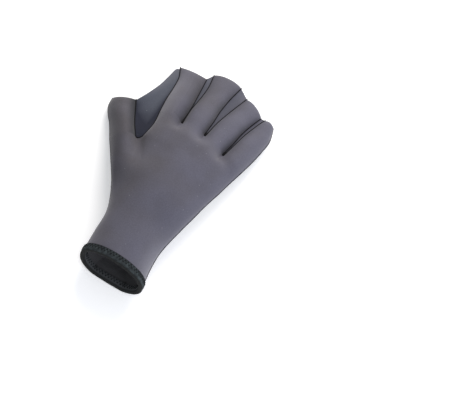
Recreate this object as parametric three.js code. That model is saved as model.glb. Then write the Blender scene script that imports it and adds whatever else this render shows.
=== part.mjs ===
// Webbed neoprene swim glove for a right hand, lying palm down on a flat surface.
// Millimetres, +X towards the little finger, +Y towards the finger tips, +Z up.
// Two shaped panels, back and palm, meet on a curved seam surface at half height. Flat webs of
// the same sheet join the fingers there, and a folded tape binds the cuff's mouth.
import * as THREE from "three";
import { mergeVertices } from "three/addons/utils/BufferGeometryUtils.js";

// Overall sizes
const gloveLength = 255; // cuff mouth to the tip of the middle finger, seen from above
const palmWidth = 96; // across the palm, beside the root of the thumb
const wristHeight = 48; // outside, back to palm, at the wrist
const palmHeight = 34; // the same over the knuckles
const fingerHeight = 20.5; // the same half way along a finger
const thumbHeight = 23.5; // the same half way along the thumb

// Sheet and tape
const wall = 2.5; // neoprene of the back, palm and wrist panels
const webWall = 2.2; // neoprene of the webs
const seamGap = 0.3; // left between two sewn pieces
const bindingWidth = 6.6; // tape seen on each side of the cuff's edge
const bindingWall = 1; // tape's own thickness

// How the glove lies
const knuckleLift = 27.5; // seam over the floor at the knuckles
const tipLift = wall + 0.5; // seam over the floor at the finger tips, where the palm's sheet lies down
const crossArch = 18; // how far the seam falls from the middle finger out to one palm width
const floorPress = 2.5; // the wrist's underside would reach this far under the floor
const upperLip = 1; // the mouth's upper lip lies this far behind its middle
const lowerLip = 3.5; // and its lower lip this far before it
const backShare = 0.53; // part of each height that lies above the seam

// Edges of the panels, seen from above. Across is a share of palmWidth, along of gloveLength.
// Trunk stations: cuff, forearm, wrist, palm seam, thumb base, thumb crotch.
const trunkEdges = {
  thumbOuter: [[-0.36, 0], [-0.38, 0.105], [-0.398, 0.2], [-0.498, 0.29], [-0.646, 0.377], [-0.8, 0.467]],
  thumbInner: [[-0.25, 0], [-0.262, 0.105], [-0.28, 0.2], [-0.35, 0.303], [-0.465, 0.418], [-0.594, 0.527]],
  indexOuter: [[-0.19, 0], [-0.2, 0.105], [-0.215, 0.2], [-0.28, 0.31], [-0.39, 0.43], [-0.512, 0.541]],
  littleOuter: [[0.35, 0], [0.305, 0.1], [0.3, 0.19], [0.385, 0.34], [0.42, 0.42], [0.455, 0.497]],
};
// Palm stations: thumb crotch, knuckles, finger crotches.
const palmEdges = {
  indexOuter: [[-0.512, 0.541], [-0.508, 0.613], [-0.535, 0.682]],
  littleOuter: [[0.455, 0.497], [0.488, 0.56], [0.522, 0.62]],
};
// Finger stations: crotch, a quarter, half, three quarters, tip.
// Bulge rounds the tip, as a share of gloveLength.
const fingers = [
  { name: "index", bulge: 0.006,
    left: [[-0.535, 0.682], [-0.56, 0.752], [-0.573, 0.82], [-0.595, 0.882], [-0.65, 0.928]],
    right: [[-0.282, 0.68], [-0.285, 0.752], [-0.303, 0.82], [-0.325, 0.886], [-0.343, 0.944]] },
  { name: "middle", bulge: 0.018,
    left: [[-0.262, 0.68], [-0.275, 0.76], [-0.27, 0.835], [-0.272, 0.912], [-0.302, 0.98]],
    right: [[-0.01, 0.682], [-0.01, 0.762], [-0.02, 0.842], [-0.01, 0.922], [0.02, 0.993]] },
  { name: "ring", bulge: 0.012,
    left: [[0.01, 0.682], [0.03, 0.762], [0.06, 0.835], [0.098, 0.906], [0.13, 0.962]],
    right: [[0.262, 0.648], [0.288, 0.716], [0.305, 0.786], [0.332, 0.853], [0.37, 0.914]] },
  { name: "little", bulge: 0.012,
    left: [[0.282, 0.648], [0.315, 0.724], [0.342, 0.793], [0.38, 0.858], [0.425, 0.919]],
    right: [[0.522, 0.62], [0.56, 0.7], [0.582, 0.769], [0.592, 0.838], [0.552, 0.898]] },
];
// Thumb stations: crotch, a quarter, half, three quarters, tip.
const thumb = { name: "thumb", bulge: 0.007,
  left: [[-0.8, 0.467], [-0.903, 0.532], [-0.985, 0.573], [-1.03, 0.612], [-1.01, 0.647]],
  right: [[-0.594, 0.527], [-0.668, 0.569], [-0.716, 0.601], [-0.772, 0.643], [-0.825, 0.683]] };
// Free edge of the thumb's web, from the thumb's tip to the index finger's.
const thumbWebEdge = [
  [-0.825, 0.683], [-0.77, 0.738], [-0.722, 0.805], [-0.7, 0.868], [-0.684, 0.918], [-0.65, 0.928],
];
const webRootDip = 0.008; // how far that web's root curves towards the wrist, a share of gloveLength

// Height along the glove, a row for each station, as shares of the named heights.
const trunkHeight = [1, 0.97, 0.95, 0.9, 0.84, 0.78]; // of wristHeight
const palmHeightAt = [1.1, 1.06, 1]; // of palmHeight
const fingerHeightAt = [1.26, 1.12, 1, 0.84]; // of fingerHeight, and the tip is flat
const thumbHeightAt = [1.22, 1.1, 1, 0.87]; // of thumbHeight, and the tip is flat
// Seam over the floor: along as a share of gloveLength, lift as a share from tipLift to knuckleLift.
const seamLine = [
  { along: 0.34, lift: 0.97 }, { along: 0.5, lift: 1 }, { along: 0.61, lift: 0.93 },
  { along: 0.75, lift: 0.66 }, { along: 0.88, lift: 0.24 }, { along: 1, lift: 0 },
];
// Soft dents in the back: place as the edges' shares, reach a share of palmWidth, depth of wristHeight.
const dents = [
  { name: "thumbHollow", across: -0.42, along: 0.4, reach: 0.17, depth: 0.07 },
  { name: "wristCrease", across: 0.1, along: 0.225, reach: 0.16, depth: 0.04 },
  { name: "knuckleDip", across: 0.02, along: 0.56, reach: 0.2, depth: 0.03 },
];

// Columns and rows of the surfaces
const thumbColumns = 6;
const thumbRootColumns = 3;
const fingerColumns = 6;
const crotchColumns = 2;
const trunkRows = [0, 0.31, 0.7, 1.4, 2.2, 3, 3.6, 4.1, 4.55, 5];
const palmSeamRow = 3;
const palmRows = [0.55, 1.1, 1.6, 2];
const fingerRows = [0.5, 1.1, 1.8, 2.5, 3.05, 3.5, 3.8, 4];
const wholeRound = 0.82; // how square the wrist's section is, 1 an ellipse
const fingerRound = 0.9; // the same of a finger's

// Where forms pass into each other, in stations
const thumbParts = { from: 3.4, over: 1.6 }; // trunk stations over which the thumb leaves the palm
const fingersPart = { from: 0.75, over: 1.25 }; // palm stations over which the fingers do
const tipCloses = { from: 2.2, over: 1.8 }; // finger stations over which back and palm meet
const tipSlack = 0.3; // left between the two sheets at a tip's seam
const thumbRowsShare = 0.7; // the share of a finger's rows that the thumb's last part takes

const clamp01 = (v) => Math.min(1, Math.max(0, v));
const ease = (v) => clamp01(v) ** 2 * (3 - 2 * clamp01(v));
const mix = (a, b, t) => a + (b - a) * t;
const planPoint = ([across, along]) => new THREE.Vector2(across * palmWidth, along * gloveLength);
const spline = (shares) => new THREE.SplineCurve(shares.map(planPoint));
const railAt = (curve, station) => curve.getPoint(clamp01(station / (curve.points.length - 1)));

// Value of a list of heights at a station, joined by a spline.
function heightAt(list, station) {
  const curve = new THREE.SplineCurve(list.map((h, i) => new THREE.Vector2(i, h)));
  return curve.getPoint(clamp01(station / (list.length - 1))).y;
}

const bindingReach = seamGap + bindingWall;
const wristLift = (1 - backShare) * wristHeight + bindingReach - floorPress;
const seamCurve = new THREE.SplineCurve([
  new THREE.Vector2(-0.3, wristLift), new THREE.Vector2(0, wristLift), new THREE.Vector2(0.2, wristLift),
  ...seamLine.map((p) => new THREE.Vector2(p.along, mix(tipLift, knuckleLift, p.lift))),
  new THREE.Vector2(1.1, tipLift),
]);

// Height of the seam surface over any point of the floor.
function seamHeight(x, y) {
  const along = y / gloveLength;
  const knots = seamCurve.points;
  let i = 1;
  while (i < knots.length - 2 && knots[i + 1].x < along) i++;
  const t = clamp01((along - knots[i].x) / (knots[i + 1].x - knots[i].x));
  const lift = seamCurve.getPoint((i + t) / (knots.length - 1)).y;
  const lifted = clamp01((lift - tipLift) / (knuckleLift - tipLift));
  return lift - crossArch * (x / palmWidth) ** 2 * ease((along - 0.22) / 0.3) * lifted;
}

// A piece of the panel between two edge lines, on a row. Each holds its columns' share across.
const arch = (b, round) => Math.sin(Math.PI * b) ** round;
const across = (b) => (1 - Math.cos(Math.PI * b)) / 2;
const angleOf = (share) => Math.acos(1 - 2 * clamp01(share)) / Math.PI;

// Lays columns over a row of edge points. Each block between two of them has columns, height and flat.
// merge 1 gives one dome from the first edge to the last, 0 an arch for each block.
function layRow(points, blocks, dome, merge, edgeHeight) {
  const reach = [0];
  for (let i = 1; i < points.length; i++) reach.push(reach[i - 1] + points[i].distanceTo(points[i - 1]));
  const total = reach[reach.length - 1];
  const row = [];
  blocks.forEach((block, k) => {
    const from = reach[k] / total;
    const to = reach[k + 1] / total;
    for (let i = k ? 1 : 0; i <= block.columns; i++) {
      const b = i / block.columns;
      const angle = mix(angleOf(from), angleOf(to), b);
      const own = block.flat ? b : across(b);
      const share = mix(own, (across(angle) - from) / (to - from), merge);
      const edge = mix(edgeHeight[k], edgeHeight[k + 1], b);
      const arched = block.flat ? edge : edge + (block.height - edge) * arch(b, fingerRound);
      const height = mix(arched, dome * arch(angle, wholeRound), merge);
      const place = points[k].clone().lerp(points[k + 1], share);
      row.push({ x: place.x, y: place.y, height });
    }
  });
  return row;
}

// Surface of one side of the glove as strips of rows: the trunk, the palm, four fingers and the thumb.
// side is 1 for the back and -1 for the palm.
function layStrips(side, trunkStations, withFingers) {
  const part = side > 0 ? backShare : 1 - backShare;
  const trunk = Object.fromEntries(Object.entries(trunkEdges).map(([k, v]) => [k, spline(v)]));
  const palm = Object.fromEntries(Object.entries(palmEdges).map(([k, v]) => [k, spline(v)]));
  const rails = fingers.map((f) => ({ left: spline(f.left), right: spline(f.right) }));
  const rootPoints = rails.flatMap((r) => [railAt(r.left, 0), railAt(r.right, 0)]);
  const rootShares = rootPoints.map((p) => (p.x - rootPoints[0].x) / (rootPoints[7].x - rootPoints[0].x));
  const handBlocks = (height) => rootShares.slice(1).map((_, i) =>
    i % 2 ? { columns: crotchColumns, flat: true } : { columns: fingerColumns, height });
  const spread = (a, b) => rootShares.map((s) => a.clone().lerp(b, s));

  const trunkStrip = trunkStations.map((station) => {
    const [a, b, c, j] = Object.keys(trunkEdges).map((name) => railAt(trunk[name], station));
    const dome = part * wristHeight * heightAt(trunkHeight, station);
    const split = ease((station - thumbParts.from) / thumbParts.over);
    const handDome = part * palmHeight * palmHeightAt[0];
    const thumbBlock = { columns: thumbColumns, height: part * thumbHeight * thumbHeightAt[0] };
    const rootBlock = { columns: thumbRootColumns, flat: true };
    const level = new Array(rootShares.length + 2).fill(0);
    const blocks = [thumbBlock, rootBlock, ...handBlocks(handDome)];
    const whole = layRow([a, b, ...spread(c, j)], blocks, dome, 1, level);
    const thumbRow = layRow([a, b], [thumbBlock], 0, 0, [0, wall]);
    const handRow = layRow(spread(c, j), handBlocks(handDome), handDome, 1, level);
    const rootRow = [];
    for (let i = 1; i < thumbRootColumns; i++) {
      const t = i / thumbRootColumns;
      const p = b.clone().lerp(c, t);
      rootRow.push({ x: p.x, y: p.y - Math.sin(Math.PI * t) * webRootDip * gloveLength, height: wall });
    }
    const parted = [...thumbRow, ...rootRow, ...handRow];
    const lip = (side > 0 ? upperLip : lowerLip) * (1 - ease(station));
    return whole.map((p, i) => ({
      x: mix(p.x, parted[i].x, split),
      y: mix(p.y, parted[i].y, split) + side * lip * p.height / dome,
      height: mix(p.height, parted[i].height, split),
    }));
  });
  if (!withFingers) return { trunk: trunkStrip };

  const crotch = trunkStrip[trunkStrip.length - 1];
  const handStart = thumbColumns + thumbRootColumns;
  crotch[handStart].height = wall;
  const palmStrip = [crotch.slice(handStart)];
  const last = rootPoints.length - 1;
  const start = spread(railAt(palm.indexOuter, 0), railAt(palm.littleOuter, 0));
  const seamEdge = rootPoints.map((_, i) => (i % last ? wall : 0));
  for (const station of palmRows) {
    const edges = start.map((p, i) => p.clone().lerp(rootPoints[i], station / (palmHeightAt.length - 1)));
    edges[0] = railAt(palm.indexOuter, station);
    edges[last] = railAt(palm.littleOuter, station);
    const split = ease((station - fingersPart.from) / fingersPart.over);
    const dome = part * palmHeight * heightAt(palmHeightAt, station);
    const arched = part * fingerHeight * fingerHeightAt[0];
    palmStrip.push(layRow(edges, handBlocks(arched), dome, 1 - split, seamEdge));
  }
  const knuckles = palmStrip[palmStrip.length - 1];
  const strips = { trunk: trunkStrip, palm: palmStrip, fingers: [] };
  fingers.forEach((finger, i) => {
    const from = i * (fingerColumns + crotchColumns);
    const first = knuckles.slice(from, from + fingerColumns + 1);
    strips.fingers.push(fingerStrip(finger, first, fingerRows, fingerHeightAt, part * fingerHeight));
  });
  const ends = fingers[0].left.length - 1;
  const early = (1 - thumbRowsShare) * ends;
  const thumbRows = palmRows.map((s) => (s / palmRows[palmRows.length - 1]) * early);
  thumbRows.push(...fingerRows.map((s) => early + s * thumbRowsShare));
  const first = crotch.slice(0, thumbColumns + 1);
  strips.fingers.push(fingerStrip(thumb, first, thumbRows, thumbHeightAt, part * thumbHeight));
  return strips;
}

// One finger's rows, from the row that it shares with the palm to its flat tip.
function fingerStrip(finger, first, stations, heights, size) {
  const left = spline(finger.left);
  const right = spline(finger.right);
  const columns = first.length - 1;
  const rows = [first];
  const thin = wall + tipSlack;
  for (const station of stations) {
    const [a, b] = [railAt(left, station), railAt(right, station)];
    const nearTip = clamp01((station - tipCloses.from) / tipCloses.over);
    const closing = Math.sqrt(1 - nearTip ** 2);
    const full = size * heightAt(heights, Math.min(station, heights.length - 1));
    const height = thin + (full - thin) * closing;
    const flat = wall * Math.max(ease(1 - 2 * station), ease((nearTip - 0.6) / 0.4));
    const row = layRow([a, b], [{ columns, height }], 0, 0, [flat, flat]);
    const outward = b.clone().sub(a).rotateAround(new THREE.Vector2(), Math.PI / 2).normalize();
    row.forEach((p, i) => {
      const t = i / columns;
      const round = finger.bulge * gloveLength * nearTip ** 2 * 4 * t * (1 - t);
      p.x += outward.x * round;
      p.y += outward.y * round;
    });
    rows.push(row);
  }
  return rows;
}

// Lowest that a panel's outside may lie: the tape under the mouth takes its room there.
const floorUnder = (y) => bindingReach * (1 - ease((y - bindingWidth) / (1.5 * bindingWidth)));

// Joins strips of rows to one sheet of the wall's thickness, closed all round.
function panelGeometry(side, strips) {
  const points = [];
  const quads = [];
  const railEdge = new Map(); // point to its two neighbours along the edge and the one inside
  for (const rows of strips) {
    rows.forEach((row, r) => row.forEach((p) => {
      if (p.id === undefined) {
        p.id = points.length;
        points.push(p);
      }
    }));
    rows.forEach((row, r) => {
      const back = rows[Math.max(0, r - 1)];
      if (r) for (let i = 1; i < row.length; i++) quads.push([back[i - 1], back[i], row[i], row[i - 1]]);
      const next = rows[Math.min(rows.length - 1, r + 1)];
      const last = row.length - 1;
      railEdge.set(row[0], [back[0], next[0], row[1]]);
      railEdge.set(row[last], [back[last], next[last], row[last - 1]]);
    });
  }
  for (const p of points) {
    const base = seamHeight(p.x, p.y) + side * seamGap / 2;
    let height = p.height;
    if (side > 0) for (const d of dents) {
      const away = Math.hypot(p.x - d.across * palmWidth, p.y - d.along * gloveLength);
      const share = Math.exp(-((away / (d.reach * palmWidth)) ** 2));
      height -= d.depth * wristHeight * share * clamp01(height / (4 * wall));
    }
    p.base = base;
    p.outer = new THREE.Vector3(p.x, p.y, base + side * height);
    if (side < 0) p.outer.z = Math.max(p.outer.z, floorUnder(p.y));
    p.normal = new THREE.Vector3();
  }
  const faceNormal = new THREE.Vector3();
  for (const q of quads) {
    const [a, b, c, d] = q.map((p) => p.outer);
    faceNormal.crossVectors(c.clone().sub(a), d.clone().sub(b)).multiplyScalar(side);
    q.forEach((p) => p.normal.add(faceNormal));
  }
  const uses = new Map();
  const key = (a, b) => a.id + "_" + b.id;
  for (const q of quads) q.forEach((p, i) => uses.set(key(p, q[(i + 1) % 4]), [p, q[(i + 1) % 4]]));
  const border = [...uses.values()].filter(([a, b]) => !uses.has(key(b, a)));
  const onBorder = new Set(border.flat());
  for (const p of points) {
    p.normal.normalize();
    if (onBorder.has(p) && railEdge.has(p)) {
      const [back, next, inside] = railEdge.get(p);
      const along = new THREE.Vector2(next.x - back.x, next.y - back.y).normalize();
      const out = new THREE.Vector2(along.y, -along.x);
      if (out.dot(new THREE.Vector2(p.x - inside.x, p.y - inside.y)) < 0) out.negate();
      const flat = clamp01(p.height / wall);
      p.normal.set(out.x * (1 - flat), out.y * (1 - flat), side * flat).normalize();
    }
    p.inner = p.outer.clone().addScaledVector(p.normal, -wall);
    p.inner.z = side > 0 ? Math.max(p.inner.z, p.base) : Math.min(p.inner.z, p.base);
  }
  const corners = [];
  const face = (a, b, c, d) => {
    const turned = side > 0 ? [a, b, c, a, c, d] : [a, c, b, a, d, c];
    turned.forEach((v) => corners.push(v.x, v.y, v.z));
  };
  for (const [a, b, c, d] of quads) {
    face(a.outer, b.outer, c.outer, d.outer);
    face(d.inner, c.inner, b.inner, a.inner);
  }
  for (const [a, b] of border) face(b.outer, a.outer, a.inner, b.inner);
  return solid(corners);
}

function solid(corners) {
  const geometry = new THREE.BufferGeometry();
  geometry.setAttribute("position", new THREE.Float32BufferAttribute(corners, 3));
  const merged = mergeVertices(geometry, 1e-4);
  merged.computeVertexNormals();
  return merged;
}

// A closed body from a grid of upper points and the same grid below. Rows run along +Y, columns along +X.
function slab(upper, lower) {
  const corners = [];
  const face = (...v) => [v[0], v[1], v[2], v[0], v[2], v[3]].forEach((p) => corners.push(p.x, p.y, p.z));
  const last = upper.length - 1;
  const wide = upper[0].length - 1;
  for (let r = 0; r < last; r++) for (let i = 0; i < wide; i++) {
    face(upper[r][i], upper[r][i + 1], upper[r + 1][i + 1], upper[r + 1][i]);
    face(lower[r][i], lower[r + 1][i], lower[r + 1][i + 1], lower[r][i + 1]);
  }
  for (let i = 0; i < wide; i++) {
    face(lower[0][i], lower[0][i + 1], upper[0][i + 1], upper[0][i]);
    face(upper[last][i], upper[last][i + 1], lower[last][i + 1], lower[last][i]);
  }
  for (let r = 0; r < last; r++) {
    face(upper[r][0], upper[r + 1][0], lower[r + 1][0], lower[r][0]);
    face(lower[r][wide], lower[r + 1][wide], upper[r + 1][wide], upper[r][wide]);
  }
  return solid(corners);
}

// A web between the edge lines of two fingers, from its root row to its free edge.
function webGeometry(leftEdge, rightEdge, root, freeEdge, columns) {
  const rows = leftEdge.map((left, r) => {
    const right = rightEdge[r];
    const span = new THREE.Vector2(right.x - left.x, right.y - left.y);
    const inset = span.clone().normalize().multiplyScalar(seamGap);
    const row = [];
    for (let i = 0; i <= columns; i++) {
      const t = i / columns;
      const p = new THREE.Vector2(left.x, left.y).add(inset);
      p.addScaledVector(span.clone().sub(inset.clone().multiplyScalar(2)), t);
      const share = r / (leftEdge.length - 1);
      if (root) p.addScaledVector(root[i], (1 - share) ** 3);
      if (freeEdge) p.addScaledVector(freeEdge[i], share ** 3);
      row.push(p);
    }
    return row;
  });
  const at = (p, lift) => new THREE.Vector3(p.x, p.y, seamHeight(p.x, p.y) + lift);
  const level = (lift) => rows.map((row) => row.map((p) => at(p, lift)));
  return slab(level(webWall / 2), level(-webWall / 2));
}

const back = layStrips(1, trunkRows, true);
const seamShift = (seamGap / 2) / (0.6 * gloveLength / 5);
const wristRows = trunkRows.filter((s) => s < palmSeamRow);
const wrist = layStrips(-1, [...wristRows, palmSeamRow - seamShift], false);
const palmTrunk = [palmSeamRow + seamShift, ...trunkRows.filter((s) => s > palmSeamRow)];
const front = layStrips(-1, palmTrunk, true);

const glove = new THREE.Group();
const greyNeoprene = new THREE.MeshStandardMaterial({ color: 0x66656f, roughness: 0.85, metalness: 0 });
const gripNeoprene = new THREE.MeshStandardMaterial({ color: 0x596164, roughness: 0.7, metalness: 0 });
const blackTape = new THREE.MeshStandardMaterial({ color: 0x26292b, roughness: 0.9, metalness: 0 });

function add(name, geometry, material) {
  const mesh = new THREE.Mesh(geometry, material);
  mesh.name = name;
  glove.add(mesh);
}

add("back_panel", panelGeometry(1, [back.trunk, back.palm, ...back.fingers]), greyNeoprene);
add("wrist_panel", panelGeometry(-1, [wrist.trunk]), greyNeoprene);
add("palm_panel", panelGeometry(-1, [front.trunk, front.palm, ...front.fingers]), gripNeoprene);

// Webs between the fingers start on the crotch row, which both neighbours share.
fingers.slice(1).forEach((f, i) => {
  const lefts = back.fingers[i].map((row) => row[fingerColumns]);
  const rights = back.fingers[i + 1].map((row) => row[0]);
  const along = new THREE.Vector2(0, seamGap);
  const root = new Array(crotchColumns + 1).fill(along);
  const geometry = webGeometry(lefts, rights, root, null, crotchColumns);
  add("web_" + fingers[i].name + "_" + f.name, geometry, greyNeoprene);
});

// The thumb's web runs from the thumb's inner edge to the palm's and the index finger's.
const thumbStrip = back.fingers[4];
const lefts = thumbStrip.map((row) => row[thumbColumns]);
const rights = [...back.palm.map((row) => row[0]), ...back.fingers[0].slice(1).map((row) => row[0])];
const edgeCurve = spline(thumbWebEdge);
const webColumns = 5;
const first = lefts[0];
const end = rights[rights.length - 1];
const tip = lefts[lefts.length - 1];
const webRoot = [];
const webFree = [];
for (let i = 0; i <= webColumns; i++) {
  const t = i / webColumns;
  webRoot.push(new THREE.Vector2(0, seamGap - Math.sin(Math.PI * t) * webRootDip * gloveLength));
  const straight = new THREE.Vector2(mix(tip.x, end.x, t), mix(tip.y, end.y, t));
  webFree.push(t > 0 && t < 1 ? edgeCurve.getPoint(t).sub(straight) : new THREE.Vector2());
}
add("web_thumb_index", webGeometry(lefts, rights, webRoot, webFree, webColumns), greyNeoprene);

// The tape is folded round the mouth's edge: a U section carried round back and wrist panels.
function bindingGeometry() {
  const ring = [];
  const upper = back.trunk;
  const lower = wrist.trunk;
  const columns = upper[0].length;
  const station = (rows, i) => ({ mouth: rows[0][i], deep: rows[1][i] });
  for (let i = 0; i < columns; i++) ring.push(station(upper, i));
  for (let i = columns - 2; i > 0; i--) ring.push(station(lower, i));
  const clear = seamGap;
  const skin = seamGap + bindingWall;
  const fold = skin * 0.6;
  const section = [
    [bindingWidth, clear], [bindingWidth, skin], [-fold, skin], [-skin, skin * 0.4],
    [-skin, -wall - skin * 0.4], [-fold, -wall - skin], [bindingWidth, -wall - skin],
    [bindingWidth, -wall - clear], [-clear, -wall - clear], [-clear, clear],
  ];
  const loop = ring.map(({ mouth, deep }) => {
    const axis = deep.outer.clone().sub(mouth.outer).normalize();
    const normal = mouth.normal.clone().addScaledVector(axis, -mouth.normal.dot(axis)).normalize();
    return section.map(([s, n]) => mouth.outer.clone().addScaledVector(axis, s).addScaledVector(normal, n));
  });
  const corners = [];
  loop.forEach((here, i) => {
    const next = loop[(i + 1) % loop.length];
    here.forEach((a, k) => {
      const m = (k + 1) % here.length;
      [a, here[m], next[m], a, next[m], next[k]].forEach((p) => corners.push(p.x, p.y, p.z));
    });
  });
  return solid(corners);
}
add("cuff_binding", bindingGeometry(), blackTape);

// Origin: middle of the glove's box, on the floor.
const box = new THREE.Box3().setFromObject(glove);
glove.position.set(-(box.min.x + box.max.x) / 2, -(box.min.y + box.max.y) / 2, -box.min.z);

export default glove;
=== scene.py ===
import math

import bpy
import numpy as np
from mathutils import Matrix, Vector


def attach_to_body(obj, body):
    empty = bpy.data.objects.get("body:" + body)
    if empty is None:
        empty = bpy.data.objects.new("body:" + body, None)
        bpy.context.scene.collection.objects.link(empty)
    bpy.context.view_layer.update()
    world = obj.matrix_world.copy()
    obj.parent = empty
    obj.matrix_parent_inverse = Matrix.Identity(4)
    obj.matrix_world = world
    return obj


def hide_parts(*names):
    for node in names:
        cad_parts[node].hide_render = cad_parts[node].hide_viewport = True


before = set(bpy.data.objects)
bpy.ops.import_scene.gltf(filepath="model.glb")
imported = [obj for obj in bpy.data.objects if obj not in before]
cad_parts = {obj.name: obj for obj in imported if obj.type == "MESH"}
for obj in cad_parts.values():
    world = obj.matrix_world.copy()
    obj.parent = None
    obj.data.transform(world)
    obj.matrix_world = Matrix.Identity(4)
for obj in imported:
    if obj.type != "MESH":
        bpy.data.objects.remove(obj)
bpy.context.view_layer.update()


def newObject(name, data):
    made = bpy.data.objects.new(name, data)
    bpy.context.scene.collection.objects.link(made)
    return made


# The camera looks down at the back of the hand, from the little finger's side of the cuff.
view = {
    "elevation": 63.0, "azimuth": 8.0, "roll": 24.0,  # degrees
    "distance": 1.2558, "lens": 107.2,  # metres and millimetres, on a 36 mm sensor
    "aim": (0.07638, -0.02536, 0.07176),  # what the picture's middle looks at
}


def addCamera(view):
    up, side, roll = (math.radians(view[k]) for k in ("elevation", "azimuth", "roll"))
    back = Vector((math.sin(side) * math.cos(up), -math.cos(side) * math.cos(up), math.sin(up)))
    right = Vector((math.cos(side), math.sin(side), 0))
    top = back.cross(right)
    turned = right * math.cos(roll) + top * math.sin(roll)
    rolled = top * math.cos(roll) - right * math.sin(roll)
    data = bpy.data.cameras.new("photoCamera")
    data.lens, data.sensor_width = view["lens"], 36
    camera = newObject("photoCamera", data)
    place = Matrix((turned, rolled, back)).transposed().to_4x4()
    place.translation = Vector(view["aim"]) + back * view["distance"]
    camera.matrix_world = place
    bpy.context.scene.camera = camera


addCamera(view)
print("camera placed")

# The glove's pattern: the solids', with some tips and edges moved to where the photo has them.
# Millimetres, and shares of width and length.
hand = {
    "length": 255.0, "width": 96.0, "backShare": 0.53,
    "wristHeight": 48.0, "palmHeight": 34.0, "fingerHeight": 20.5, "thumbHeight": 23.5,
    "wall": 2.5, "web": 2.2, "gap": 0.3, "tapeReach": 1.3, "tapeWidth": 6.6,
    "knuckleLift": 27.5, "tipLift": 3.0, "crossArch": 18.0, "archPart": (0.22, 0.3), "floorPress": 2.5,
    "mouthLean": {1: 1.0, -1: -3.5},  # of the upper lip and of the lower one
    "webRootDip": 0.01, "wholeRound": 0.82, "fingerRound": 0.9,
    "origin": (21.033, -125.823, 0.0),  # from the pattern's corner to the frame's
    "trunkHeight": [1, 0.97, 0.95, 0.9, 0.84, 0.78], "palmHeightAt": [1.1, 1.06, 1],
    "fingerHeightAt": [1.26, 1.12, 1, 0.84], "thumbHeightAt": [1.22, 1.1, 1, 0.87],
    "thumbParts": (3.4, 1.6), "fingersPart": (0.9, 1.1), "tipCloses": (2.2, 1.8), "tipSlack": 0.3,
}
trunkEdges = {
    "thumbOuter": [[-0.36, 0], [-0.38, 0.105], [-0.398, 0.2], [-0.498, 0.29], [-0.646, 0.377], [-0.8, 0.467]],
    "thumbInner": [
        [-0.25, 0], [-0.262, 0.105], [-0.28, 0.2], [-0.35, 0.303], [-0.465, 0.418], [-0.594, 0.527]],
    "indexOuter": [[-0.19, 0], [-0.2, 0.105], [-0.215, 0.2], [-0.28, 0.31], [-0.395, 0.43], [-0.526, 0.541]],
    "littleOuter": [[0.328, 0], [0.289, 0.1], [0.291, 0.19], [0.37, 0.34], [0.409, 0.42], [0.455, 0.497]],
}
palmEdges = {
    "indexOuter": [[-0.526, 0.541], [-0.508, 0.613], [-0.535, 0.682]],
    "littleOuter": [[0.455, 0.497], [0.488, 0.56], [0.522, 0.62]],
}
# Index, middle, ring and little finger, and the thumb.
fingers = [
    {"bulge": 0.001, "grow": 2.3,
     "left": [[-0.535, 0.682], [-0.56, 0.752], [-0.573, 0.82], [-0.595, 0.882], [-0.65, 0.928]],
     "right": [[-0.282, 0.68], [-0.285, 0.752], [-0.303, 0.82], [-0.325, 0.886], [-0.343, 0.944]]},
    {"bulge": 0.016, "grow": 2.4,
     "left": [[-0.262, 0.68], [-0.275, 0.76], [-0.27, 0.835], [-0.272, 0.912], [-0.302, 0.98]],
     "right": [[-0.01, 0.682], [-0.01, 0.762], [-0.02, 0.842], [-0.01, 0.922], [0.02, 0.993]]},
    {"bulge": 0.012, "grow": 1.9,
     "left": [[0.01, 0.682], [0.03, 0.762], [0.06, 0.835], [0.098, 0.906], [0.13, 0.962]],
     "right": [[0.262, 0.648], [0.288, 0.716], [0.305, 0.786], [0.332, 0.853], [0.37, 0.914]]},
    {"bulge": 0.012, "grow": 1.0,
     "left": [[0.282, 0.648], [0.315, 0.724], [0.342, 0.793], [0.38, 0.858], [0.425, 0.919]],
     "right": [[0.522, 0.62], [0.56, 0.7], [0.582, 0.769], [0.592, 0.838], [0.552, 0.898]]},
    {"bulge": 0, "grow": 0.7,
     "left": [[-0.8, 0.467], [-0.903, 0.532], [-0.985, 0.573], [-1.04, 0.612], [-1.05, 0.649]],
     "right": [[-0.594, 0.527], [-0.668, 0.569], [-0.716, 0.601], [-0.772, 0.643], [-0.825, 0.683]]},
]
thumbWebEdge = [
    [-0.825, 0.683], [-0.77, 0.738], [-0.722, 0.805], [-0.7, 0.868], [-0.684, 0.918], [-0.65, 0.928],
]
seamLine = [(0.34, 0.97), (0.5, 1), (0.61, 0.93), (0.75, 0.66), (0.88, 0.24), (1, 0)]  # along, lift
dents = [  # across, along, reach as a share of width, depth of the wrist's height
    (-0.43, 0.315, 0.19, 0.09), (0.1, 0.225, 0.16, 0.04), (0.02, 0.56, 0.2, 0.03),
]
# Soft unevenness of a worn sheet: height in millimetres, waves across and along, shift.
waves = [
    (0.34, 0.061, 0.043, 1.3), (0.26, -0.083, 0.059, 0.4), (0.14, 0.13, 0.11, 2.2), (0.1, 0.17, -0.19, 0),
]

# How finely the sheets are laid, and how their sewn edges lie
lay = {
    "thumbColumns": 24, "rootColumns": 12, "fingerColumns": 24, "crotchColumns": 8, "handMiddle": 60,
    "trunkRows": 104, "palmRows": 32, "fingerRows": 46, "tipRows": 8, "trunkShare": 0.6,
    "palmSeam": 3.0, "webEdge": 1.25, "softFoot": 0.5, "tipRound": 0.18, "thumbShare": 0.45,
    "smoothing": 24, "dotRoom": 0.4, "lowest": 0.05,
}
handStart = lay["thumbColumns"] + lay["rootColumns"]  # the column at which the index finger's part starts
fingerStep = lay["fingerColumns"] + lay["crotchColumns"]


def mix(a, b, t):
    return a + (b - a) * t


def clamp(v):
    return np.clip(v, 0.0, 1.0)


def ease(v):
    return clamp(v) ** 2 * (3 - 2 * clamp(v))


# How far a value is through a stretch, given as the stretch's start and length.
def through(v, stretch):
    return (v - stretch[0]) / stretch[1]


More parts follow.
